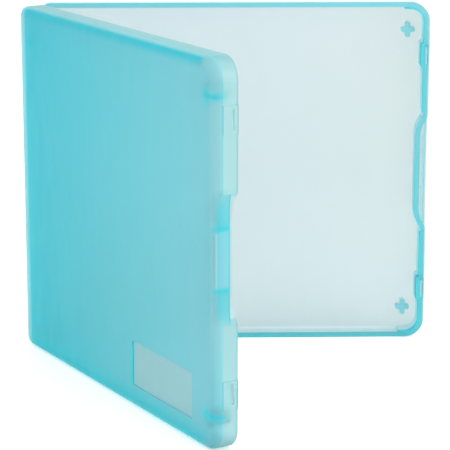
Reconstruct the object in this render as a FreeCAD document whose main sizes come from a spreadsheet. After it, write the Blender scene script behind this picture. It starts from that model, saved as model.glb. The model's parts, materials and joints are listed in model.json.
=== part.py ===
import FreeCAD, Part
import math
import os
import Sketcher
from FreeCAD import Placement, Rotation, Vector

# A disc case moulded in one piece: two shallow covers that share a living hinge along the spine.
# Each cover is drawn closed, with the hinge axis on Z, its width along +X and its rim at Y = 0.
# The back cover lies on the +Y side of the rims and the front cover on the -Y side.
# The front cover is then swung open about the hinge axis.

# Driving dimensions in millimetres, angles in degrees.
SIZES = {
    # Outline and section of a cover.
    "cover_width": 140.0,
    "cover_height": 125.0,
    "cover_depth": 8.0,
    "wall": 1.65,
    "panel": 1.2,
    "free_corner": 7.3,
    "spine_corner": 3.6,
    "edge_round": 2.6,
    "floor_round": 1.4,
    # Living hinge.
    "open_angle": 61.0,
    "rim_gap": 0.1,
    "hinge_reach": 0.8,
    "web_thickness": 0.4,
    "web_drop": 0.45,
    "web_inset": 4.4,
    # Thumb notch at the middle of the free edge.
    "notch_length": 41.4,
    "notch_depth": 2.8,
    "front_notch_depth": 3.5,
    "notch_wall": 1.7,
    "notch_round": 11.0,
    "flange": 1.5,
    "flange_lip": 0.5,
    "flange_lip_height": 4.0,
    "flange_rib_pitch": 14.0,
    "flange_rib_height": 0.5,
    "flange_rib_thickness": 0.8,
    "front_lip": 0.8,
    "front_rib_pitch": 19.6,
    "front_rib_height": 3.6,
    "front_rib_thickness": 1.4,
    "grip_relief": 0.63,
    "grip_round": 30.0,
    # Locating lip and snap latches.
    "fit_clearance": 0.2,
    "lip_thickness": 0.5,
    "lip_height": 1.0,
    "lip_run": 9.5,
    "lip_end_round": 0.4,
    "latch_pitch": 87.0,
    "latch_length": 9.2,
    "hook_thickness": 1.5,
    "hook_round": 0.8,
    "hook_height": 2.3,
    "catch_height": 1.75,
    "barb_length": 6.2,
    "barb": 0.7,
    "barb_land": 0.2,
    "latch_boss": 0.35,
    "slot_skin": 0.5,
    "slot_length": 7.0,
    "slot_depth": 5.0,
    # Corner posts, plus-shaped in section.
    "post_free_inset": 7.6,
    "front_post_inset": 6.2,
    "post_spine_inset": 9.6,
    "post_end_inset": 10.4,
    "post_arm": 1.7,
    "post_width": 4.8,
    "post_length": 5.5,
    "post_round": 0.45,
    "post_gap": 0.2,
    "back_post_height": 2.8,
    "post_rib_drop": 2.0,
    # Bare label recess on the outside of the front cover.
    "label_width": 40.4,
    "label_height": 15.4,
    "label_free_inset": 14.8,
    "label_base_inset": 7.7,
    "label_round": 0.5,
    "label_recess": 0.35,
}

# The share of a wall that a root reaches into it, and the share of a corner that a round may take up.
ROOT_SHARE = 0.25
ROUND_SHARE = 0.8

# Places that the features share, written in terms of the driving dimensions.
SPINE = "Sizes.hinge_reach"
FREE = "(Sizes.hinge_reach + Sizes.cover_width)"
TOP = "Sizes.cover_height"
MIDDLE = "(Sizes.cover_height / 2)"
RIM = "Sizes.rim_gap"
FACE = "(Sizes.rim_gap + Sizes.cover_depth)"
FLOOR = f"({FACE} - Sizes.panel)"
INNER_SPINE = f"({SPINE} + Sizes.wall)"
INNER_FREE = f"({FREE} - Sizes.wall)"
NOTCH_HALF = "(Sizes.notch_length / 2)"
FLANGE_BED = f"({FACE} - Sizes.flange)"
FRONT_LIP_SIDE = f"({FREE} - Sizes.grip_relief - Sizes.front_lip)"
FIT_SIDE = f"({INNER_FREE} - Sizes.fit_clearance)"
FIT_END = "(Sizes.wall + Sizes.fit_clearance)"
SMALL_CORNER = "min(Sizes.spine_corner; Sizes.free_corner)"
POST_ENDS = {"lower": "Sizes.post_end_inset", "upper": f"({TOP} - Sizes.post_end_inset)"}
EDGE_ROUND = f"min(Sizes.edge_round; {ROUND_SHARE} * {SMALL_CORNER})"
FLOOR_ROUND = f"min(Sizes.floor_round; {ROUND_SHARE} * ({SMALL_CORNER} - Sizes.wall))"
# Cuts run past a surface by PAST. What stands on a wall or on the floor is rooted into it.
PAST = "Sizes.wall"
ROOT = f"({ROOT_SHARE} * Sizes.wall)"
FLOOR_ROOT = f"({FLOOR} + {ROOT_SHARE} * Sizes.panel)"

PLACE_TOLERANCE = 1e-4

doc = FreeCAD.newDocument("disc_case")


def make_sheet():
    """Write the driving dimensions to the sheet, one named cell to a row."""
    sheet = doc.addObject("Spreadsheet::Sheet", "Sizes")
    for row, (name, value) in enumerate(SIZES.items(), start=1):
        sheet.set(f"A{row}", name)
        sheet.set(f"B{row}", str(value))
        sheet.setAlias(f"B{row}", name)
    doc.recompute()
    return sheet


def value_of(expression):
    """The number that an expression of the driving dimensions stands for."""
    return float(sizes.evalExpression(expression))


class Sketch:
    """A constrained sketch on one of a body's origin planes, set off along the plane's normal."""

    def __init__(self, body, name, role, offset="0"):
        self.item = body.newObject("Sketcher::SketchObject", name)
        plane = next(f for f in body.Origin.OriginFeatures if f.Role == role)
        self.item.AttachmentSupport = [(plane, "")]
        self.item.MapMode = "FlatFace"
        self.item.setExpression("AttachmentOffset.Base.z", offset)

    def bind(self, constraint, expression):
        index = self.item.addConstraint(constraint)
        self.item.setExpression(f"Constraints[{index}]", expression)

    def place(self, kind, line, end, expression):
        """Tie one coordinate of a line's end to its signed distance from the origin."""
        distance = value_of(expression)
        if distance >= 0:
            self.bind(Sketcher.Constraint(kind, -1, 1, line, end, distance), expression)
        else:
            self.bind(Sketcher.Constraint(kind, line, end, -1, 1, -distance), f"-({expression})")

    def outline(self, edges, rounds):
        """A closed outline of upright and level edges in turn, starting with an upright one.

        Each edge is given by where it stands, and rounds[i] is the radius between edge i and the
        next one, or None for a sharp corner.
        """
        count = len(edges)
        stand = [value_of(edge) for edge in edges]
        corners = []
        for i in range(count):
            after = (i + 1) % count
            across, up = (i, after) if i % 2 == 0 else (after, i)
            corners.append(Vector(stand[across], stand[up], 0))
        radii = [value_of(radius) if radius else 0.0 for radius in rounds]
        along = [(corners[i] - corners[i - 1]).normalize() for i in range(count)]
        lines = []
        for i in range(count):
            start = corners[i - 1] + along[i] * radii[i - 1]
            end = corners[i] - along[i] * radii[i]
            lines.append(self.item.addGeometry(Part.LineSegment(start, end)))
        for i in range(count):
            direction = "Vertical" if i % 2 == 0 else "Horizontal"
            self.item.addConstraint(Sketcher.Constraint(direction, lines[i]))
            self.place("DistanceX" if i % 2 == 0 else "DistanceY", lines[i], 1, edges[i])
        for i in range(count):
            after = (i + 1) % count
            if radii[i]:
                headings = (along[i], along[after])
                self.corner_arc(corners[i], headings, radii[i], (lines[i], lines[after]), rounds[i])
            else:
                self.item.addConstraint(Sketcher.Constraint("Coincident", lines[i], 2, lines[after], 1))

    def corner_arc(self, corner, headings, radius, lines, expression):
        """Join two lines by an arc that is tangent to both."""
        heading, leaving = headings
        line, next_line = lines
        centre = corner + (leaving - heading) * radius
        begin = corner - heading * radius - centre
        finish = corner + leaving * radius - centre
        turns_left = heading.cross(leaving).z > 0
        first, last = (begin, finish) if turns_left else (finish, begin)
        angles = [math.atan2(v.y, v.x) for v in (first, last)]
        circle = Part.Circle(centre, Vector(0, 0, 1), radius)
        arc = self.item.addGeometry(Part.ArcOfCircle(circle, *angles))
        start_end, finish_end = (1, 2) if turns_left else (2, 1)
        self.item.addConstraint(Sketcher.Constraint("Tangent", line, 2, arc, start_end))
        self.item.addConstraint(Sketcher.Constraint("Tangent", arc, finish_end, next_line, 1))
        self.bind(Sketcher.Constraint("Radius", arc, radius), expression)

    def polygon(self, points):
        """A closed outline of straight edges through points given by two expressions each."""
        ends = [Vector(value_of(x), value_of(y), 0) for x, y in points]
        lines = []
        for i, start in enumerate(ends):
            lines.append(self.item.addGeometry(Part.LineSegment(start, ends[(i + 1) % len(ends)])))
        for i, (x, y) in enumerate(points):
            following = lines[(i + 1) % len(lines)]
            self.item.addConstraint(Sketcher.Constraint("Coincident", lines[i], 2, following, 1))
            self.place("DistanceX", lines[i], 1, x)
            self.place("DistanceY", lines[i], 1, y)


class Cover:
    """One cover of the case. Depths are measured from the parting plane towards its outer face."""

    def __init__(self, name, outward):
        self.name = name
        self.outward = outward
        self.body = doc.addObject("PartDesign::Body", name)
        self.body.Label = name

    def depth(self, expression):
        """A depth as a Y coordinate."""
        return expression if self.outward > 0 else f"-({expression})"

    def sketch(self, name, start):
        """A sketch parallel to the parting plane, at a depth. Its normal points along -Y."""
        offset = f"-({start})" if self.outward > 0 else start
        return Sketch(self.body, f"{self.name}_{name}_sketch", "XZ_Plane", offset)

    def feature(self, kind, name, sketch, length, reverse):
        item = self.body.newObject(kind, f"{self.name}_{name}")
        item.Profile = sketch.item
        item.setExpression("Length", length)
        item.Reversed = reverse
        doc.recompute()
        return item

    def pad(self, name, outlines, start, end):
        """Add outlines from one depth to a greater one."""
        sketch = self.sketch(name, start)
        for edges, rounds in outlines:
            sketch.outline(edges, rounds)
        return self.feature("PartDesign::Pad", name, sketch, f"{end} - ({start})", self.outward > 0)

    def pocket(self, name, outlines, start, end):
        """Cut outlines from one depth to a greater one, and make sure that something was cut."""
        before = self.body.Shape.Volume
        sketch = self.sketch(name, start)
        for edges, rounds in outlines:
            sketch.outline(edges, rounds)
        cut = self.feature("PartDesign::Pocket", name, sketch, f"{end} - ({start})", self.outward < 0)
        if cut.Shape.Volume >= before:
            raise RuntimeError(f"{cut.Name} cuts nothing")
        return cut

    def round_at(self, name, base, depth, radius):
        """Round every edge of a feature that lies at one depth."""
        level = self.outward * value_of(depth)
        names = []
        for number, edge in enumerate(base.Shape.Edges, start=1):
            box = edge.BoundBox
            if max(abs(box.YMin - level), abs(box.YMax - level)) < PLACE_TOLERANCE:
                names.append(f"Edge{number}")
        item = self.body.newObject("PartDesign::Fillet", f"{self.name}_{name}")
        item.Base = (base, names)
        item.setExpression("Radius", radius)
        doc.recompute()
        return item


def rectangle(left, right, bottom, top, radius=None):
    """Edges and corner radii of a rectangle, ready for an outline."""
    return [left, top, right, bottom], [radius] * 4


def about(centre, half):
    """The two places that lie half a length below and above a centre."""
    return f"{centre} - {half}", f"{centre} + {half}"


def latch_centres():
    return about(MIDDLE, "Sizes.latch_pitch / 2")


def make_tray(cover):
    """The tray of a cover: a rounded block, hollowed from the rim, with a soft outer edge."""
    outer = [SPINE, TOP, FREE, "0"]
    outer_rounds = ["Sizes.spine_corner", "Sizes.free_corner", "Sizes.free_corner", "Sizes.spine_corner"]
    block = cover.pad("block", [(outer, outer_rounds)], RIM, FACE)
    cover.round_at("outer_round", block, FACE, EDGE_ROUND)
    inner = [INNER_SPINE, f"{TOP} - Sizes.wall", INNER_FREE, "Sizes.wall"]
    inner_rounds = [f"{radius} - Sizes.wall" for radius in outer_rounds]
    hollow = cover.pocket("hollow", [(inner, inner_rounds)], RIM, FLOOR)
    cover.round_at("floor_edge", hollow, FLOOR, FLOOR_ROUND)


def notch_outline(sketch, depth, wall, right, curve="Sizes.notch_round"):
    """The outline of the thumb notch, or of the wall round it, as far as a line on the right.

    A straight bed runs out at each end in an arc, which is tangent to it and leaves the free edge
    where the notch ends.
    """
    radius = f"({curve} + {wall})"
    bed = f"({FREE} - {depth} - {wall})"
    run_out = f"sqrt({depth} * (2 * {curve} - {depth}))"
    middle = f"({NOTCH_HALF} - {run_out})"
    axis_low, axis_high = about(MIDDLE, middle)
    across = f"({bed} + {radius})"
    swing = math.acos((value_of(across) - value_of(right)) / value_of(radius))
    geometry = sketch.item
    left = value_of(bed)
    low, high = value_of(axis_low), value_of(axis_high)
    spread = value_of(radius) * math.sin(swing)
    bed_line = geometry.addGeometry(Part.LineSegment(Vector(left, low, 0), Vector(left, high, 0)))
    ends = [Vector(value_of(right), low - spread, 0), Vector(value_of(right), high + spread, 0)]
    right_line = geometry.addGeometry(Part.LineSegment(*ends))
    for line, place in ((bed_line, bed), (right_line, right)):
        geometry.addConstraint(Sketcher.Constraint("Vertical", line))
        sketch.place("DistanceX", line, 1, place)
    upper = Part.Circle(Vector(value_of(across), high, 0), Vector(0, 0, 1), value_of(radius))
    lower = Part.Circle(Vector(value_of(across), low, 0), Vector(0, 0, 1), value_of(radius))
    upper_arc = geometry.addGeometry(Part.ArcOfCircle(upper, math.pi - swing, math.pi))
    lower_arc = geometry.addGeometry(Part.ArcOfCircle(lower, math.pi, math.pi + swing))
    geometry.addConstraint(Sketcher.Constraint("Tangent", bed_line, 2, upper_arc, 2))
    geometry.addConstraint(Sketcher.Constraint("Tangent", lower_arc, 1, bed_line, 1))
    geometry.addConstraint(Sketcher.Constraint("Coincident", upper_arc, 1, right_line, 2))
    geometry.addConstraint(Sketcher.Constraint("Coincident", lower_arc, 2, right_line, 1))
    for arc, axis in ((upper_arc, axis_high), (lower_arc, axis_low)):
        sketch.bind(Sketcher.Constraint("Radius", arc, value_of(radius)), radius)
        sketch.place("DistanceY", arc, 3, axis)


def add_notch_wall(cover, depth):
    """The wall that steps inwards round the thumb notch, from the rim to the floor."""
    sketch = cover.sketch("notch_wall", RIM)
    notch_outline(sketch, depth, "Sizes.notch_wall", f"{INNER_FREE} + {ROOT}")
    cover.feature("PartDesign::Pad", "notch_wall", sketch, f"{FLOOR_ROOT} - {RIM}", cover.outward > 0)


def cut_outline(cover, name, sketch, end):
    """Cut a sketch at the rim down to a depth, and make sure that something was cut."""
    before = cover.body.Shape.Volume
    cut = cover.feature("PartDesign::Pocket", name, sketch, f"{end} - {RIM}", cover.outward < 0)
    if cut.Shape.Volume >= before:
        raise RuntimeError(f"{cut.Name} cuts nothing")


def cut_notch(cover, depth, lip_side):
    """Cut the notch down to a flange at the outer face, and leave a lip on it along the free edge."""
    steps = {
        "notch": (f"{FREE} + {PAST}", f"({FLANGE_BED} - Sizes.flange_lip_height)"),
        "notch_bed": (lip_side, FLANGE_BED),
    }
    for name, (right, end) in steps.items():
        sketch = cover.sketch(name, RIM)
        notch_outline(sketch, depth, "0", right)
        cut_outline(cover, name, sketch, end)


def add_flange_ribs(cover, depth, lip_side, rib):
    """Two ribs across the flange, from the notch wall to the lip. A rib names its three sizes."""
    left = f"{FREE} - {depth} - {ROOT}"
    right = f"{lip_side} + {ROOT_SHARE} * Sizes.flange_lip"
    ribs = []
    for centre in about(MIDDLE, f"Sizes.{rib}_pitch / 2"):
        low, high = about(centre, f"Sizes.{rib}_thickness / 2")
        ribs.append(rectangle(left, right, low, high))
    root = f"({FLANGE_BED} + {ROOT_SHARE} * Sizes.flange)"
    cover.pad("flange_ribs", ribs, f"{FLANGE_BED} - Sizes.{rib}_height", root)


def cut_grip_recess(cover):
    """A shallow recess for the thumb in the outer edge, as long as the notch."""
    sketch = cover.sketch("grip_recess", RIM)
    notch_outline(sketch, "Sizes.grip_relief", "0", f"{FREE} + {PAST}", "Sizes.grip_round")
    cut_outline(cover, "grip_recess", sketch, f"({FACE} + {PAST})")


def add_posts(cover, free_inset, tip_depth):
    """A plus-shaped post in each corner, from the floor to a depth."""
    insets = {
        "spine": f"{SPINE} + Sizes.post_spine_inset",
        "free": f"{FREE} - {free_inset}",
    }
    for side, across in insets.items():
        for end, up in POST_ENDS.items():
            left, right = about(across, "Sizes.post_width / 2")
            bottom, top = about(up, "Sizes.post_length / 2")
            arm_left, arm_right = about(across, "Sizes.post_arm / 2")
            arm_low, arm_high = about(up, "Sizes.post_arm / 2")
            plus = [
                arm_left, top, arm_right, arm_high, right, arm_low,
                arm_right, bottom, arm_left, arm_low, left, arm_high,
            ]
            tip = "Sizes.post_round"
            rounds = [tip, tip, None, tip, tip, None, tip, tip, None, tip, tip, None]
            cover.pad(f"post_{side}_{end}", [(plus, rounds)], tip_depth, FLOOR_ROOT)


def add_post_ribs(cover):
    """A rib that ties each post beside the free edge to the free wall."""
    ribs = []
    for up in POST_ENDS.values():
        low, high = about(up, "Sizes.front_rib_thickness / 2")
        ribs.append(rectangle(f"{FREE} - Sizes.front_post_inset", f"{INNER_FREE} + {ROOT}", low, high))
    cover.pad("post_ribs", ribs, f"({RIM} + Sizes.post_rib_drop)", FLOOR_ROOT)


def add_lip(cover):
    """The locating lip inside the free wall, round both corners and up to the thumb notch."""
    limit = f"({NOTCH_HALF} + Sizes.notch_wall)"
    lip_corner = "Sizes.free_corner - Sizes.wall - Sizes.fit_clearance"
    bands = {
        "lip_base": (
            f"{INNER_FREE} + {ROOT}", f"(Sizes.wall - {ROOT})", f"Sizes.free_corner - {ROOT}",
            RIM, FLOOR_ROOT,
        ),
        "lip": (FIT_SIDE, FIT_END, lip_corner, f"{RIM} - Sizes.lip_height", RIM),
    }
    inside = f"{FIT_SIDE} - Sizes.lip_thickness"
    inside_end = f"({FIT_END} + Sizes.lip_thickness)"
    inside_round = f"{lip_corner} - Sizes.lip_thickness"
    start = f"{FREE} - Sizes.lip_run"
    for name, (outside, outside_end, outside_round, low, high) in bands.items():
        rounds = [None, outside_round, None, None, inside_round, "Sizes.lip_end_round"]
        upper_ends = (f"{TOP} - {outside_end}", f"{TOP} - {inside_end}")
        upper = [start, upper_ends[0], outside, f"{MIDDLE} + {limit}", inside, upper_ends[1]]
        lower = [start, outside_end, outside, f"{MIDDLE} - {limit}", inside, inside_end]
        cover.pad(name, [(upper, rounds), (lower, rounds)], low, high)


def add_hooks(cover):
    """Two snap hooks that stand above the rim, each with a barb that faces the free edge."""
    face = FIT_SIDE
    tabs = []
    for centre in latch_centres():
        low, high = about(centre, "Sizes.latch_length / 2")
        edges = [f"{face} - Sizes.hook_thickness", high, face, low]
        tabs.append((edges, ["Sizes.hook_round", None, None, "Sizes.hook_round"]))
    cover.pad("hooks", tabs, f"{RIM} - Sizes.hook_height", FLOOR_ROOT)
    tip = f"{face} + Sizes.barb"
    heights = ["Sizes.catch_height", "Sizes.catch_height + Sizes.barb_land", "Sizes.hook_height"]
    catch, land, top = [cover.depth(f"{RIM} - ({height})") for height in heights]
    root = f"{face} - Sizes.hook_thickness / 2"
    profile = [(root, catch), (tip, catch), (tip, land), (face, top), (root, top)]
    for end, centre in zip(("lower", "upper"), latch_centres()):
        low = f"{centre} - Sizes.barb_length / 2"
        sketch = Sketch(cover.body, f"{cover.name}_barb_{end}_sketch", "XY_Plane", low)
        sketch.polygon(profile)
        cover.feature("PartDesign::Pad", f"barb_{end}", sketch, "Sizes.barb_length", False)


def add_hook_slots(cover):
    """A slot in the rim between each hook and the skin of the free wall, so that the hook can spring."""
    slots = []
    for centre in latch_centres():
        low, high = about(centre, "Sizes.slot_length / 2")
        slots.append(rectangle(FIT_SIDE, f"{FREE} - Sizes.slot_skin", low, high))
    cover.pocket("hook_slots", slots, RIM, f"({RIM} + Sizes.slot_depth)")


def add_latch_bosses(cover):
    """A low boss on the free wall round each latch window."""
    bosses = []
    for centre in latch_centres():
        low, high = about(centre, "Sizes.latch_length / 2")
        bosses.append(rectangle(f"{FREE} - {ROOT}", f"{FREE} + Sizes.latch_boss", low, high))
    cover.pad("latch_bosses", bosses, RIM, f"({FACE} - {EDGE_ROUND})")


def add_latch_windows(cover):
    """A window through the free wall for each hook's barb."""
    before = cover.body.Shape.Volume
    sketch = Sketch(cover.body, f"{cover.name}_window_sketch", "YZ_Plane", f"{FREE} + {PAST}")
    near = cover.depth(f"(Sizes.catch_height - {RIM} - Sizes.fit_clearance)")
    far = cover.depth(f"(Sizes.hook_height - {RIM})")
    for centre in latch_centres():
        low, high = about(centre, "(Sizes.barb_length / 2 + Sizes.fit_clearance)")
        sketch.outline(*rectangle(far, near, low, high))
    depth = f"({PAST} + Sizes.wall + Sizes.fit_clearance)"
    windows = cover.feature("PartDesign::Pocket", "windows", sketch, depth, False)
    if windows.Shape.Volume >= before:
        raise RuntimeError("the latch windows cut nothing")


def add_label_recess(cover):
    """The shallow bare recess for a label, low on the outer face near the free edge."""
    right = f"{FREE} - Sizes.label_free_inset"
    base = "Sizes.label_base_inset"
    left, top = f"{right} - Sizes.label_width", f"{base} + Sizes.label_height"
    field = rectangle(left, right, base, top, "Sizes.label_round")
    cover.pocket("label_recess", [field], f"{FACE} - Sizes.label_recess", f"({FACE} + {PAST})")


def make_back_cover():
    """The cover with the lip and the hooks."""
    cover = Cover("back_cover", 1)
    make_tray(cover)
    add_lip(cover)
    add_hooks(cover)
    add_hook_slots(cover)
    depth, lip_side = "Sizes.notch_depth", f"({FREE} - Sizes.flange_lip)"
    add_notch_wall(cover, depth)
    cut_notch(cover, depth, lip_side)
    add_flange_ribs(cover, depth, lip_side, "flange_rib")
    add_posts(cover, "Sizes.post_free_inset", f"({FLOOR} - Sizes.back_post_height)")
    return cover.body


def make_front_cover():
    """The cover with the latch windows and the label recess, swung open about the hinge axis."""
    cover = Cover("front_cover", -1)
    make_tray(cover)
    depth = "Sizes.front_notch_depth"
    add_notch_wall(cover, depth)
    cut_notch(cover, depth, FRONT_LIP_SIDE)
    add_flange_ribs(cover, depth, FRONT_LIP_SIDE, "front_rib")
    cut_grip_recess(cover)
    add_latch_bosses(cover)
    add_latch_windows(cover)
    add_label_recess(cover)
    add_posts(cover, "Sizes.front_post_inset", f"({RIM} + Sizes.post_gap)")
    add_post_ribs(cover)
    cover.body.Placement = Placement(Vector(), Rotation(Vector(0, 0, 1), -SIZES["open_angle"]))
    cover.body.setExpression("Placement.Rotation.Angle", "-Sizes.open_angle * 1 deg")
    return cover.body


def make_hinge_web():
    """The thin web of the living hinge, bent round from one spine wall to the other.

    It leaves each wall at a right angle, so its middle line is an arc that turns through what is
    left of a half turn at the present opening.
    """
    body = doc.addObject("PartDesign::Body", "hinge_web")
    body.Label = "hinge_web"
    radius = "(Sizes.hinge_reach * tan(Sizes.open_angle * 0.5 deg) + Sizes.rim_gap + Sizes.web_drop)"
    root = "(Sizes.rim_gap + Sizes.web_drop)"
    turn = math.radians(180 - SIZES["open_angle"])
    sketch = Sketch(body, "hinge_web_sketch", "XY_Plane", "Sizes.web_inset")
    centre = Vector(value_of(SPINE), value_of(root) - value_of(radius), 0)
    quarter = math.pi / 2
    arcs = []
    rings = [f"{radius} - Sizes.web_thickness / 2", f"{radius} + Sizes.web_thickness / 2"]
    for ring in rings:
        circle = Part.Circle(centre, Vector(0, 0, 1), value_of(ring))
        arcs.append(sketch.item.addGeometry(Part.ArcOfCircle(circle, quarter, quarter + turn)))
    ends = []
    for angle in (quarter, quarter + turn):
        across = Vector(math.cos(angle), math.sin(angle), 0)
        points = [centre + across * value_of(ring) for ring in rings]
        ends.append(sketch.item.addGeometry(Part.LineSegment(*points)))
    inner, outer = arcs
    for end, line in zip((1, 2), ends):
        sketch.item.addConstraint(Sketcher.Constraint("Coincident", line, 1, inner, end))
        sketch.item.addConstraint(Sketcher.Constraint("Coincident", line, 2, outer, end))
    sketch.item.addConstraint(Sketcher.Constraint("Coincident", inner, 3, outer, 3))
    sketch.item.addConstraint(Sketcher.Constraint("Vertical", ends[0]))
    sketch.place("DistanceX", inner, 3, SPINE)
    sketch.place("DistanceY", inner, 3, f"{root} - {radius}")
    sketch.bind(Sketcher.Constraint("Radius", inner, value_of(rings[0])), rings[0])
    sketch.bind(Sketcher.Constraint("Radius", outer, value_of(rings[1])), rings[1])
    angle = Sketcher.Constraint("Angle", ends[0], 1, ends[1], 1, turn)
    sketch.bind(angle, "(180 - Sizes.open_angle) * 1 deg")
    web = body.newObject("PartDesign::Pad", "hinge_web_pad")
    web.Profile = sketch.item
    web.setExpression("Length", "Sizes.cover_height - 2 * Sizes.web_inset")
    doc.recompute()
    return body


def stand_on_origin(bodies):
    """Move the whole case so that the middle of its footprint is the origin."""
    box = Part.makeCompound([body.Shape for body in bodies]).optimalBoundingBox(False, False)
    shift = Vector(-box.Center.x, -box.Center.y, -box.ZMin)
    for body in bodies:
        body.Placement = Placement(shift, body.Placement.Rotation)
    doc.recompute()
    print("hinge axis at", round(shift.x, 4), round(shift.y, 4))


def check_model(bodies):
    for item in doc.Objects:
        if "Invalid" in item.State or "Error" in item.State:
            raise RuntimeError(f"{item.Name} failed: {item.State}")
    for body in bodies:
        if body.Shape.isNull() or not body.Shape.isValid() or len(body.Shape.Solids) != 1:
            raise RuntimeError(f"{body.Label} is not one valid solid")


sizes = make_sheet()
pieces = [make_back_cover(), make_front_cover(), make_hinge_web()]
doc.recompute()
stand_on_origin(pieces)
check_model(pieces)
os.makedirs("parts", exist_ok=True)
for piece in pieces:
    piece.Shape.exportStep(f"parts/{piece.Label}.step")
    print(piece.Label, round(piece.Shape.Volume, 2), piece.Shape.optimalBoundingBox(False, False))
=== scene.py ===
import json
import math

import bpy
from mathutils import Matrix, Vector


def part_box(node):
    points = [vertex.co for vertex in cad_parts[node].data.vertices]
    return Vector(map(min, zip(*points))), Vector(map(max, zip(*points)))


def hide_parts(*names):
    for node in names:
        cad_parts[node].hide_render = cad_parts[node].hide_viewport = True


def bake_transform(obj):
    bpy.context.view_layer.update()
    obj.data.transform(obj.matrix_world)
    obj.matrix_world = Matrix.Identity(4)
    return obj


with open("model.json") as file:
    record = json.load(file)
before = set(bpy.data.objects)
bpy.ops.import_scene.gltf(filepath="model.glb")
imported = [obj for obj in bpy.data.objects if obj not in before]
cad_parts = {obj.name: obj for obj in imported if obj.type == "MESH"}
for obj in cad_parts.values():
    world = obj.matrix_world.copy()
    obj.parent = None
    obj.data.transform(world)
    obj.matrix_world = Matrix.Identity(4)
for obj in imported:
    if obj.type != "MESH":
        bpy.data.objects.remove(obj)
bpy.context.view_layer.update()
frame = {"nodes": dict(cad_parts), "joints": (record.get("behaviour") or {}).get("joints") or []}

# The frame of a cover, in metres: across it from the hinge axis, deep from the parting plane, and up.
hinge_joint = frame["joints"][0]
HINGE = Vector(hinge_joint["pos_m"])
OPEN_ANGLE = math.radians(-hinge_joint["range_deg"][0])
back_low, back_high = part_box("back_cover")
SPINE = back_low.x - HINGE.x
FREE = back_high.x - HINGE.x
FACE = back_high.y - HINGE.y
TOP = back_high.z
MIDDLE = TOP / 2

# Sizes of the moulded details, in metres.
EDGE_ROUND = 0.0026
ROUND_START = FACE - EDGE_ROUND
FREE_CORNER = 0.0073
PANEL = 0.0012
TRAY_FLOOR = FACE - PANEL
NOTCH_HALF = 0.0207
FLANGE_LIP_TOP = 0.0026
LIP_RIB_HALF = 0.0004
LIP_RIB_OFF_MIDDLE = 0.0098
LATCH_OFF_MIDDLE = 0.0435
SLOT_HALF = 0.0035
WINDOW_HALF = 0.0034
POST_HALF = 0.0027
POST_ARM = 0.0017
POST_SPINE = SPINE + 0.0096
POST_FREE = FREE - 0.0076
FRONT_POST_FREE = FREE - 0.0052
POST_OFF_MIDDLE = MIDDLE - 0.0104
LABEL_RIGHT = FREE - 0.0148
LABEL_WIDTH = 0.0404
LABEL_LEFT = LABEL_RIGHT - LABEL_WIDTH
LABEL_BASE = 0.0077
LABEL_HEIGHT = 0.0154

# Half the width of the border between two colours, in metres.
HAIR = 0.00005
FINE = 0.0001
SOFT = 0.0002

# The sockets of a mix node that mixes colours, by number.
MIX_FACTOR = 0
MIX_BELOW = 6
MIX_ABOVE = 7
MIX_RESULT = 2


class Shader:
    """A material and its node tree, built one short step at a time."""

    def __init__(self, name):
        self.material = bpy.data.materials.new(name)
        self.material.use_nodes = True
        self.tree = self.material.node_tree
        self.tree.nodes.clear()
        self.output = self.node("OutputMaterial", {})

    def node(self, kind, inputs, **settings):
        """A new node. An input is either another node's output or a plain value."""
        node = self.tree.nodes.new(f"ShaderNode{kind}")
        for name, value in settings.items():
            setattr(node, name, value)
        for key, value in inputs.items():
            if isinstance(value, bpy.types.NodeSocket):
                self.tree.links.new(value, node.inputs[key])
            elif node.inputs[key].type == "RGBA":
                node.inputs[key].default_value = (*value, 1)
            else:
                node.inputs[key].default_value = value
        return node

    def tie(self, result, end):
        """Links a shader to one end of the material's output."""
        self.tree.links.new(result, self.output.inputs[end])

    def math(self, operation, first, second=0.0, third=0.0):
        inputs = {0: first, 1: second, 2: third}
        return self.node("Math", inputs, operation=operation).outputs["Value"]

    def rise(self, value, start, end):
        """From 0 at one value to 1 at another."""
        inputs = {"Value": value, "From Min": start, "From Max": end}
        return self.node("MapRange", inputs).outputs["Result"]

    def band(self, value, low, high, soft):
        """1 between two values and 0 outside them, with soft edges."""
        enter = self.rise(value, low - soft, low + soft)
        leave = self.rise(value, high + soft, high - soft)
        return self.math("MINIMUM", enter, leave)

    def strip(self, value, centre, half, soft):
        """1 within half a width of a centre, with soft edges."""
        return self.band(value, centre - half, centre + half, soft)

    def all_of(self, *masks):
        result = masks[0]
        for mask in masks[1:]:
            result = self.math("MULTIPLY", result, mask)
        return result

    def any_of(self, *masks):
        result = masks[0]
        for mask in masks[1:]:
            result = self.math("MAXIMUM", result, mask)
        return result

    def mix(self, mask, below, above):
        """One colour where a mask is 0, and another where it is 1."""
        inputs = {MIX_FACTOR: mask, MIX_BELOW: below, MIX_ABOVE: above}
        return self.node("Mix", inputs, data_type="RGBA").outputs[MIX_RESULT]

    def paint(self, colour, layers):
        """A colour with others laid over it in turn, each where its mask is 1."""
        for mask, tint in layers:
            colour = self.mix(mask, colour, tint)
        return colour

    def ramp(self, value, stops):
        """A colour that runs through the given stops as a value goes from 0 to 1."""
        node = self.node("ValToRGB", {"Fac": value})
        elements = node.color_ramp.elements
        # A new stop starts halfway, and each is then put in its place.
        while len(elements) < len(stops):
            elements.new(0.5)
        for element, (place, colour) in zip(elements, stops):
            element.position = place
            element.color = (*colour, 1)
        return node.outputs["Color"]


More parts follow.
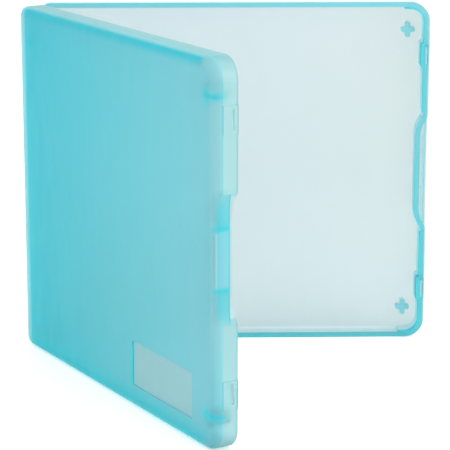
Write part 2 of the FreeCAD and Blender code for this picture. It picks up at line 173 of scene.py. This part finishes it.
class CoverPlace:
    """Where a point of a cover lies: across, deep, up, and in from the nearest edge of its outline."""

    def __init__(self, shader, turn, outward):
        coordinates = shader.node("TexCoord", {}).outputs["Object"]
        inputs = {"Vector": coordinates, "Location": (HINGE.x, HINGE.y, 0), "Rotation": (0, 0, turn)}
        local = shader.node("Mapping", inputs, vector_type="TEXTURE").outputs["Vector"]
        axes = shader.node("SeparateXYZ", {"Vector": local}).outputs
        self.across = axes["X"]
        self.deep = shader.math("MULTIPLY", axes["Y"], outward)
        self.up = axes["Z"]
        self.from_spine = shader.math("SUBTRACT", self.across, SPINE)
        self.from_free = shader.math("SUBTRACT", FREE, self.across)
        self.from_top = shader.math("SUBTRACT", TOP, self.up)
        self.off_middle = shader.math("ABSOLUTE", shader.math("SUBTRACT", self.up, MIDDLE))
        self.from_corner = self.from_rounded_outline(shader)
        self.inset = shader.math("MINIMUM", self.from_spine, self.from_corner)

    def from_rounded_outline(self, shader):
        """In from the free side and both ends, whose corners are round."""
        from_end = shader.math("MINIMUM", self.up, self.from_top)
        past_side = shader.math("MAXIMUM", shader.math("SUBTRACT", FREE_CORNER, self.from_free), 0)
        past_end = shader.math("MAXIMUM", shader.math("SUBTRACT", FREE_CORNER, from_end), 0)
        end_square = shader.math("MULTIPLY", past_end, past_end)
        squares = shader.math("MULTIPLY_ADD", past_side, past_side, end_square)
        return shader.math("SUBTRACT", FREE_CORNER, shader.math("SQRT", squares))


# Share of the light that one millimetre of the dyed plastic takes out of red, green and blue.
DYE = (0.16, 0.012, 0.006)
MILLIMETRES_IN_METRE = 1000.0
FROST = 0.36
REFRACTION = 1.49
# Share of the light that the plastic scatters on, and how much more where light from behind makes it glow.
MILK = 0.25
GLOW = 0.5
# The marks that the flow of the melt leaves are long, upright and faint.
FLOW_STRETCH = (1, 1, 0.25)
FLOW_SCALE = 220
FLOW_DETAIL = 2
FLOW_CONTRAST = (0.35, 0.65)
FLOW_SHARE = 0.03
WHITE = (1, 1, 1)
# The grain that the mould leaves on the surface.
GRAIN_SCALE = 2600
GRAIN_DETAIL = 3
GRAIN_STRENGTH = 0.12
GRAIN_HEIGHT = 0.00005


def plastic(shader, colour, milk, skin):
    """Frosted translucent plastic: a rough clear surface, milky scatter, a matt skin and a dyed body."""
    coordinates = shader.node("TexCoord", {}).outputs["Object"]
    upright = shader.node("Mapping", {"Vector": coordinates, "Scale": FLOW_STRETCH}).outputs["Vector"]
    flow_inputs = {"Vector": upright, "Scale": FLOW_SCALE, "Detail": FLOW_DETAIL}
    flow = shader.node("TexNoise", flow_inputs).outputs["Fac"]
    flow_marks = shader.math("MULTIPLY", shader.rise(flow, *FLOW_CONTRAST), FLOW_SHARE)
    colour = shader.mix(flow_marks, colour, WHITE)
    grain_inputs = {"Vector": coordinates, "Scale": GRAIN_SCALE, "Detail": GRAIN_DETAIL}
    grain = shader.node("TexNoise", grain_inputs).outputs["Fac"]
    bump_inputs = {"Height": grain, "Strength": GRAIN_STRENGTH, "Distance": GRAIN_HEIGHT}
    normal = shader.node("Bump", bump_inputs).outputs["Normal"]
    clear = shader.node("BsdfPrincipled", {
        "Base Color": colour,
        "Transmission Weight": 1.0,
        "Roughness": FROST,
        "IOR": REFRACTION,
        "Normal": normal,
    })
    haze = shader.node("BsdfTranslucent", {"Color": colour})
    matt = shader.node("BsdfDiffuse", {"Color": colour, "Normal": normal})
    milky = shader.node("MixShader", {"Fac": milk, 1: clear.outputs["BSDF"], 2: haze.outputs["BSDF"]})
    both = shader.node("MixShader", {"Fac": skin, 1: milky.outputs["Shader"], 2: matt.outputs["BSDF"]})
    dye = [1 - share for share in DYE]
    dyed = shader.node("VolumeAbsorption", {"Color": dye, "Density": MILLIMETRES_IN_METRE})
    shader.tie(both.outputs["Shader"], "Surface")
    shader.tie(dyed.outputs["Volume"], "Volume")
    return shader.material


def posts_mask(shader, place, across, off_middle, soft):
    """The plus-shaped corner posts at two places across a cover, seen along its depth."""
    half = POST_HALF
    arm = POST_ARM / 2
    ends = shader.math("ABSOLUTE", shader.math("SUBTRACT", place.off_middle, off_middle))
    bars = []
    for post in across:
        sides = shader.math("ABSOLUTE", shader.math("SUBTRACT", place.across, post))
        for width, length in ((half, arm), (arm, half)):
            on_width = shader.rise(sides, width + soft, width - soft)
            on_length = shader.rise(ends, length + soft, length - soft)
            bars.append(shader.all_of(on_width, on_length))
    return shader.any_of(*bars)


# Colours of the front panel from the spine to the free edge, high up and low down. They are painted shade:
# deeper near the spine and low down, where less light comes through the open case.
FRONT_UPPER = [
    (0.02, (0.065, 0.77, 0.86)),
    (0.14, (0.095, 0.75, 0.84)),
    (0.45, (0.19, 0.76, 0.83)),
    (0.95, (0.34, 0.77, 0.83)),
]
FRONT_LOWER = [
    (0.02, (0.03, 0.78, 0.86)),
    (0.14, (0.055, 0.74, 0.82)),
    (0.45, (0.18, 0.72, 0.78)),
    (0.95, (0.33, 0.71, 0.77)),
]

# The pairs of places below are in metres. Where rise() takes a pair, a colour starts to show at its
# first place and is full at its second. Where band() takes one, the colour lies between the two.
LOW_PANEL = (0.080, 0.015)
ON_PANEL = (TRAY_FLOOR - 0.0006, TRAY_FLOOR)


def front_panel(shader, place):
    """The colour of the front panel with its painted shade, which the other colours of the front cover lie
    over.
    """
    along = shader.rise(place.across, SPINE, FREE)
    upper = shader.ramp(along, FRONT_UPPER)
    lower = shader.ramp(along, FRONT_LOWER)
    return shader.mix(shader.rise(place.up, *LOW_PANEL), upper, lower)


# The borders of the front panel, from the foot, the top, the free edge and the spine: deep colour painted
# where light runs along the walls, and painted highlights on the rounded edges.
FOOT = (0.0080, 0.0005)
FOOT_TINT = (0.03, 0.83, 0.90)
HEAD_ENTER = (0.0002, 0.0009)
HEAD_LEAVE = (0.0042, 0.0014)
HEAD_END = (0.005, 0.010)
HEAD_TINT = (0.04, 0.72, 0.82)
FREE_BAND = (EDGE_ROUND + 0.0013, EDGE_ROUND)
FREE_BAND_REACH = (0.009, 0.006)
TOP_EDGE = (0.0008, 0.0002)
EDGE_TINT = (0.49, 0.795, 0.84)
LOW_EDGE = (0.042, 0.020)
LOW_EDGE_HIGHLIGHT = (0.335, 0.715, 0.77)
SPINE_EDGE = (0.0058, 0.0030)
SPINE_HIGHLIGHT = (0.72, 0.92, 0.94)


def front_borders(shader, place, on_panel):
    """The borders of the front panel: deep colour painted where one looks into a wall, and painted
    highlights on the rounded edges.
    """
    # Deep colour painted at the foot and below the top, for the light that runs along the walls.
    foot = shader.all_of(shader.rise(place.up, *FOOT), on_panel)
    head = shader.all_of(
        shader.rise(place.from_top, *HEAD_ENTER),
        shader.rise(place.from_top, *HEAD_LEAVE),
        shader.rise(place.from_free, *HEAD_END),
        on_panel,
    )
    free_band = shader.all_of(
        shader.rise(place.from_corner, *FREE_BAND),
        shader.rise(place.from_free, *FREE_BAND_REACH),
    )
    # Painted highlights on the rounded free and top edges, duller low down, and along the round of the
    # spine.
    edge_highlight = shader.any_of(free_band, shader.rise(place.from_top, *TOP_EDGE))
    highlight_colour = shader.mix(shader.rise(place.up, *LOW_EDGE), EDGE_TINT, LOW_EDGE_HIGHLIGHT)
    spine_highlight = shader.rise(place.from_spine, *SPINE_EDGE)
    return [
        (foot, FOOT_TINT),
        (head, HEAD_TINT),
        (edge_highlight, highlight_colour),
        (spine_highlight, SPINE_HIGHLIGHT),
    ]


# The walls of the front cover, from the rim to where the rounded edge starts, painted pale where the light
# from the side falls on them, with painted shade low down and at the top, and painted near white on their
# inner sides.
BELOW_ROUND = (ROUND_START + FINE, ROUND_START - FINE)
WALL_TINT = (0.69, 0.88, 0.87)
LOW_WALL = (0.070, 0.020)
LOW_WALL_TINT = (0.55, 0.75, 0.76)
TOP_WALL = (0.0048, 0.0004)
TOP_WALL_TINT = (0.45, 0.72, 0.74)
INSIDE = (0.0012, 0.0015)
INSIDE_TINT = (0.90, 0.98, 0.98)
OUTSIDE = (0.0009, 0.0007)
ROUND_LINE = (ROUND_START - 0.0002, ROUND_START + 0.0001)
ROUND_LINE_START = (0.003, 0.006)
ROUND_LINE_TINT = (0.30, 0.80, 0.86)
RIM_LINE = (0.0008, 0.0005)
RIM_LINE_TINT = (0.50, 0.78, 0.78)


def front_walls(shader, place):
    """The walls of the front cover in painted light and shade, with a painted deep line where they meet
    the rounded edge and a painted shade line at the rim.
    """
    wall = shader.rise(place.deep, *BELOW_ROUND)
    free_wall = shader.mix(shader.rise(place.up, *LOW_WALL), WALL_TINT, LOW_WALL_TINT)
    wall_colour = shader.mix(shader.rise(place.from_top, *TOP_WALL), free_wall, TOP_WALL_TINT)
    inside = shader.all_of(wall, shader.rise(place.inset, *INSIDE))
    outside = shader.rise(place.inset, *OUTSIDE)
    round_line = shader.all_of(
        shader.band(place.deep, *ROUND_LINE, FINE),
        outside,
        shader.rise(place.up, *ROUND_LINE_START),
    )
    rim_line = shader.all_of(shader.rise(place.deep, *RIM_LINE), outside)
    return [
        (wall, wall_colour),
        (inside, INSIDE_TINT),
        (round_line, ROUND_LINE_TINT),
        (rim_line, RIM_LINE_TINT),
    ]


# Colours of the grip recess from the middle of the notch to its ends: painted shade, pale in the middle,
# deepest just beyond it and lighter towards the ends.
GRIP_COLOURS = [
    (0.40, (0.38, 0.85, 0.94)),
    (0.48, (0.18, 0.81, 0.88)),
    (0.80, (0.25, 0.83, 0.90)),
    (1.00, (0.45, 0.86, 0.91)),
]
# The thumb notch, the flange lip below it with a painted deep line along it, and the painted highlight of
# the recess beside the outer face.
AT_NOTCH = (NOTCH_HALF, NOTCH_HALF - SOFT)
ABOVE_LIP = (FLANGE_LIP_TOP - FINE, FLANGE_LIP_TOP)
GRIP_REACH = (0.0012, 0.0009)
GRIP_CUT = (0.00005, 0.00015)
LIP_LINE = (FLANGE_LIP_TOP + 0.0006, FLANGE_LIP_TOP + 0.0002)
LIP_LINE_TINT = (0.15, 0.74, 0.82)
GRIP_LINE = (0.00715, 0.0075)
GRIP_LINE_END = (0.0092, 0.0082)
GRIP_LINE_REACH = (0.0013, 0.0011)
GRIP_HIGHLIGHT = (0.90, 1.0, 1.0)


def front_grip(shader, place):
    """The grip recess in painted light and shade; it cuts into the rounded edge, so it lies below the
    round at the same inset.
    """
    round_left = shader.math("SUBTRACT", 2 * EDGE_ROUND, place.from_free)
    round_rise = shader.math("SQRT", shader.math("MULTIPLY", place.from_free, round_left))
    round_deep = shader.math("ADD", round_rise, ROUND_START)
    grip = shader.all_of(
        shader.rise(place.off_middle, *AT_NOTCH),
        shader.rise(place.from_free, *GRIP_REACH),
        shader.rise(place.deep, *ABOVE_LIP),
        shader.rise(shader.math("SUBTRACT", round_deep, place.deep), *GRIP_CUT),
    )
    grip_colour = shader.ramp(shader.rise(place.off_middle, 0, NOTCH_HALF), GRIP_COLOURS)
    lip_line = shader.all_of(grip, shader.rise(place.deep, *LIP_LINE))
    grip_highlight = shader.all_of(
        shader.rise(place.off_middle, *GRIP_LINE_END),
        shader.band(place.deep, *GRIP_LINE, FINE),
        shader.rise(place.from_free, *GRIP_LINE_REACH),
    )
    return [
        (grip, grip_colour),
        (lip_line, LIP_LINE_TINT),
        (grip_highlight, GRIP_HIGHLIGHT),
    ]


# The painted marks of the posts and of their ribs lie a little nearer mid-height than the posts.
MARK_OFF_MIDDLE = POST_OFF_MIDDLE - 0.0014
RIB_MARK_HALF = 0.0008
RIB_MARK_SOFT = 0.0012
RIB_MARK_REACH = (-0.0004, 0.0062)
RIB_MARK_END_SOFT = 0.0010
RIB_MARK_DEEP = (0.0030, 0.0054)
LIP_RIB_SOFT = 0.0007
LIP_RIB_REACH = (0.0035, 0.0015)
POST_MARK_SOFT = 0.0014
POST_MARK_DEEP = (0.0058, 0.0066)
MARK_TINT = (0.01, 0.85, 0.94)


def front_marks(shader, place):
    """Deeper marks painted on the front cover for the light and shade that the posts and ribs inside carry
    through it.
    """
    rib_marks = shader.all_of(
        shader.strip(place.off_middle, MARK_OFF_MIDDLE, RIB_MARK_HALF, RIB_MARK_SOFT),
        shader.band(place.from_free, *RIB_MARK_REACH, RIB_MARK_END_SOFT),
        shader.rise(place.deep, *RIB_MARK_DEEP),
    )
    lip_ribs = shader.all_of(
        shader.strip(place.off_middle, LIP_RIB_OFF_MIDDLE, LIP_RIB_HALF, LIP_RIB_SOFT),
        shader.rise(place.from_free, *LIP_RIB_REACH),
        shader.rise(place.deep, *ABOVE_LIP),
    )
    post_marks = shader.all_of(
        posts_mask(shader, place, (POST_SPINE, FRONT_POST_FREE), MARK_OFF_MIDDLE, POST_MARK_SOFT),
        shader.rise(place.deep, *POST_MARK_DEEP),
    )
    return [(shader.any_of(rib_marks, lip_ribs, post_marks), MARK_TINT)]


# The label recess, and the deep line painted along its left edge for the light and shade at the recess
# wall.
LABEL_TINT = (0.49, 0.71, 0.74)
LABEL_EDGE = (LABEL_LEFT - 0.0003, LABEL_LEFT + 0.0002)
LABEL_EDGE_TINT = (0.01, 0.86, 0.95)


def front_label(shader, place, on_panel):
    """The label recess and the painted deep line down its left edge."""
    in_height = shader.band(place.up, LABEL_BASE, LABEL_BASE + LABEL_HEIGHT, HAIR)
    label = shader.all_of(shader.band(place.across, LABEL_LEFT, LABEL_RIGHT, HAIR), in_height, on_panel)
    edge = shader.all_of(shader.band(place.across, *LABEL_EDGE, FINE), in_height, on_panel)
    return [(label, LABEL_TINT), (edge, LABEL_EDGE_TINT)]


# The latch windows in the free wall, painted pale as they glow in light from behind, and the share of matt
# skin on the front cover.
WINDOW_DEEP = (0.0014, 0.00225)
WINDOW_REACH = (0.0024, 0.0020)
WINDOW_GLOW = (0.93, 0.98, 0.98)
FRONT_SKIN = 0.3


def front_plastic():
    """The front cover, painted deep in colour at its spine and ends as shade, and painted pale with light
    on its rounded edge and walls.
    """
    shader = Shader("front_plastic")
    place = CoverPlace(shader, -OPEN_ANGLE, -1)
    on_panel = shader.rise(place.deep, *ON_PANEL)
    # Light from behind makes the sides of the latch windows glow: their pale colour is painted light, and
    # they scatter more.
    windows = shader.all_of(
        shader.strip(place.off_middle, LATCH_OFF_MIDDLE, WINDOW_HALF, FINE),
        shader.band(place.deep, *WINDOW_DEEP, HAIR),
        shader.rise(place.from_free, *WINDOW_REACH),
    )
    colour = shader.paint(front_panel(shader, place), [
        *front_borders(shader, place, on_panel),
        *front_walls(shader, place),
        *front_grip(shader, place),
        *front_marks(shader, place),
        *front_label(shader, place, on_panel),
        (windows, WINDOW_GLOW),
    ])
    milk = shader.math("MULTIPLY_ADD", windows, GLOW, MILK)
    return plastic(shader, colour, milk, FRONT_SKIN)


# Colours of the back panel from its foot to its top, paler high up as painted light, and a warmer one high
# up at its free side.
BACK_PANEL = [
    (0.0, (0.81, 0.78, 0.79)),
    (0.5, (0.80, 0.77, 0.78)),
    (1.0, (0.87, 0.82, 0.84)),
]
WARM_ACROSS = (0.10, FREE)
WARM_UP = (0.02, 0.07)
WARM_SHARE = 0.5
WARM_TINT = (0.84, 0.79, 0.76)


def back_panel(shader, place):
    """The colour of the back panel with its painted light, which the other colours of the back cover lie
    over.
    """
    colour = shader.ramp(shader.rise(place.up, 0, TOP), BACK_PANEL)
    warm = shader.all_of(
        shader.rise(place.across, *WARM_ACROSS),
        shader.rise(place.up, *WARM_UP),
        WARM_SHARE,
    )
    return shader.mix(warm, colour, WARM_TINT)


# The walls, flange, rim, posts, slots, hooks and barbs of the back cover, painted in light and shade, and
# its shares of matt skin.
OFF_FLOOR = (TRAY_FLOOR, TRAY_FLOOR - 0.0004)
OFF_FLOOR_LIGHT = (0.97, 0.98, 0.99)
FLANGE_REACH = (0.0028, 0.0026)
FLANGE_DEEP = (FLANGE_LIP_TOP, FLANGE_LIP_TOP + 0.0004)
FLANGE_TINT = (0.86, 0.92, 0.93)
FLANGE_EDGE = (0.0006, 0.0004)
FLANGE_HIGHLIGHT = (0.70, 0.93, 0.95)
RIM = (0.0017, 0.0006)
RIM_UP = (0.02, 0.12)
LOW_RIM_TINT = (0.20, 0.73, 0.79)
HIGH_RIM_TINT = (0.34, 0.74, 0.79)
BACK_POST_DEEP = (0.0050, 0.0043)
BACK_POST_TINT = (0.38, 0.80, 0.85)
SLOT_REACH = (0.0004, 0.0019)
SLOT_DEEP = (0.0012, 0.0053)
SLOT_TINT = (0.45, 0.83, 0.87)
HOOKS = (0, -0.0004)
HOOK_TINT = (0.13, 0.72, 0.80)
BARBS = (-0.0011, -0.0013)
BARB_REACH = (0.00195, 0.0018)
BARB_TINT = (0.45, 0.84, 0.88)
BACK_SKIN = 0.12
DEEP_SKIN = 0.4


def back_plastic():
    """The back cover, painted pale with light on its panel and inner walls, and painted deep in colour
    along its rim.
    """
    shader = Shader("back_plastic")
    place = CoverPlace(shader, 0, 1)
    off_floor = shader.rise(place.deep, *OFF_FLOOR)
    flange = shader.all_of(
        shader.rise(place.off_middle, *AT_NOTCH),
        shader.rise(place.from_free, *FLANGE_REACH),
        shader.rise(place.deep, *FLANGE_DEEP),
    )
    flange_highlight = shader.rise(place.from_free, *FLANGE_EDGE)
    rim = shader.rise(place.deep, *RIM)
    rim_colour = shader.mix(shader.rise(place.up, *RIM_UP), LOW_RIM_TINT, HIGH_RIM_TINT)
    posts = shader.all_of(
        posts_mask(shader, place, (POST_SPINE, POST_FREE), POST_OFF_MIDDLE, SOFT),
        shader.rise(place.deep, *BACK_POST_DEEP),
    )
    slots = shader.all_of(
        shader.strip(place.off_middle, LATCH_OFF_MIDDLE, SLOT_HALF, SOFT),
        shader.band(place.from_free, *SLOT_REACH, FINE),
        shader.band(place.deep, *SLOT_DEEP, FINE),
    )
    deep_colour = shader.any_of(rim, posts, slots)
    hooks = shader.rise(place.deep, *HOOKS)
    barbs = shader.all_of(
        shader.rise(place.deep, *BARBS),
        shader.rise(place.from_free, *BARB_REACH),
    )
    # Painted light and shade: near white off the floor, a pale flange with a painted highlight on its
    # edge, deep colour where light runs through the rim and hooks, darker low on the rim, and paler posts,
    # slots and barbs.
    colour = shader.paint(back_panel(shader, place), [
        (off_floor, OFF_FLOOR_LIGHT),
        (flange, FLANGE_TINT),
        (deep_colour, rim_colour),
        (posts, BACK_POST_TINT),
        (hooks, HOOK_TINT),
        (slots, SLOT_TINT),
        (flange_highlight, FLANGE_HIGHLIGHT),
        (barbs, BARB_TINT),
    ])
    # Light from behind makes the thin walls, ribs and posts glow.
    thin = shader.math("SUBTRACT", off_floor, hooks)
    milk = shader.math("MULTIPLY_ADD", thin, GLOW, MILK)
    skin = shader.math("MULTIPLY_ADD", shader.any_of(deep_colour, off_floor), DEEP_SKIN, BACK_SKIN)
    return plastic(shader, colour, milk, skin)


# The web of the living hinge.
HINGE_TINT = (0.45, 0.88, 0.94)
HINGE_MILK = 0.3
HINGE_SKIN = 0.2


def hinge_plastic():
    """The thin web of the living hinge, in one tint."""
    return plastic(Shader("hinge_plastic"), HINGE_TINT, HINGE_MILK, HINGE_SKIN)


def clothe(obj, material):
    """Gives a piece its material."""
    obj.data.materials.clear()
    obj.data.materials.append(material)


clothe(frame["nodes"]["back_cover"], back_plastic())
clothe(frame["nodes"]["front_cover"], front_plastic())

# The web of the living hinge bends; a copy of it, left unbent, stands for the rigid one, which is hidden.
web = bpy.data.objects.new("living_hinge", frame["nodes"]["hinge_web"].data.copy())
bpy.context.scene.collection.objects.link(web)
clothe(web, hinge_plastic())
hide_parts("hinge_web")
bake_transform(web)


def stand(obj, place, ahead):
    """Puts a lamp or the camera at a place, facing a direction."""
    bpy.context.scene.collection.objects.link(obj)
    obj.location = place
    obj.rotation_mode = "QUATERNION"
    obj.rotation_quaternion = ahead.to_track_quat("-Z", "Y")


def area(name, place, target, size, power):
    """A round soft box that faces a point."""
    light = bpy.data.lights.new(name, "AREA")
    light.shape = "DISK"
    light.size = size
    light.energy = power
    stand(bpy.data.objects.new(name, light), place, Vector(target) - Vector(place))


area("overhead", place=(0.1, 0.0, 0.9), target=(0, 0, 0.05), size=0.7, power=1.9)
area("right_box", place=(0.8, -0.6, 0.5), target=(0, 0, 0.06), size=0.5, power=2)

# The white ground and the white room round it.
PAPER = (0.92, 0.92, 0.92)
PAPER_GLOW = 0.36
PAPER_SIZE = 8
PAPER_PLACE = (0, 1, 0)
SKY_STRENGTH = 0.98


def paper_floor():
    """White paper that shows white to the camera and through the plastic, and keeps the shadow."""
    shader = Shader("white_paper")
    paper = shader.node("BsdfDiffuse", {"Color": PAPER})
    rays = shader.node("LightPath", {}).outputs
    seen = shader.any_of(rays["Is Camera Ray"], rays["Is Glossy Ray"], rays["Is Transmission Ray"])
    glow = shader.node("Emission", {"Strength": shader.math("MULTIPLY", seen, PAPER_GLOW)})
    both = shader.node("AddShader", {0: paper.outputs["BSDF"], 1: glow.outputs["Emission"]})
    shader.tie(both.outputs["Shader"], "Surface")
    return shader.material


bpy.ops.mesh.primitive_plane_add(size=PAPER_SIZE, location=PAPER_PLACE)
floor = bpy.context.object
floor.name = "floor"
floor.data.materials.append(paper_floor())

world = bpy.data.worlds.new("studio")
bpy.context.scene.world = world
world.use_nodes = True
sky = world.node_tree.nodes["Background"]
sky.inputs["Color"].default_value = (*WHITE, 1)
sky.inputs["Strength"].default_value = SKY_STRENGTH

# The camera: its film and lens in millimetres, and its place from the hinge and the floor in metres.
FILM_WIDTH = 36
LENS = 164.76
EYE_ACROSS = 0.05094
EYE_BEFORE = 0.73486
EYE_HEIGHT = 0.22236
PITCH = math.radians(13.70)
YAW = math.radians(1.242)

camera = bpy.data.cameras.new("camera")
camera.sensor_width = FILM_WIDTH
camera.lens = LENS
eye = bpy.data.objects.new("camera", camera)
ahead = Vector((math.cos(PITCH) * math.sin(YAW), math.cos(PITCH) * math.cos(YAW), -math.sin(PITCH)))
stand(eye, (HINGE.x + EYE_ACROSS, HINGE.y - EYE_BEFORE, EYE_HEIGHT), ahead)
bpy.context.scene.camera = eye
bpy.context.scene.view_settings.view_transform = "Standard"
# Light crosses many walls of the case before it reaches the camera.
BOUNCES = 32
bpy.context.scene.cycles.max_bounces = BOUNCES
bpy.context.scene.cycles.transmission_bounces = BOUNCES
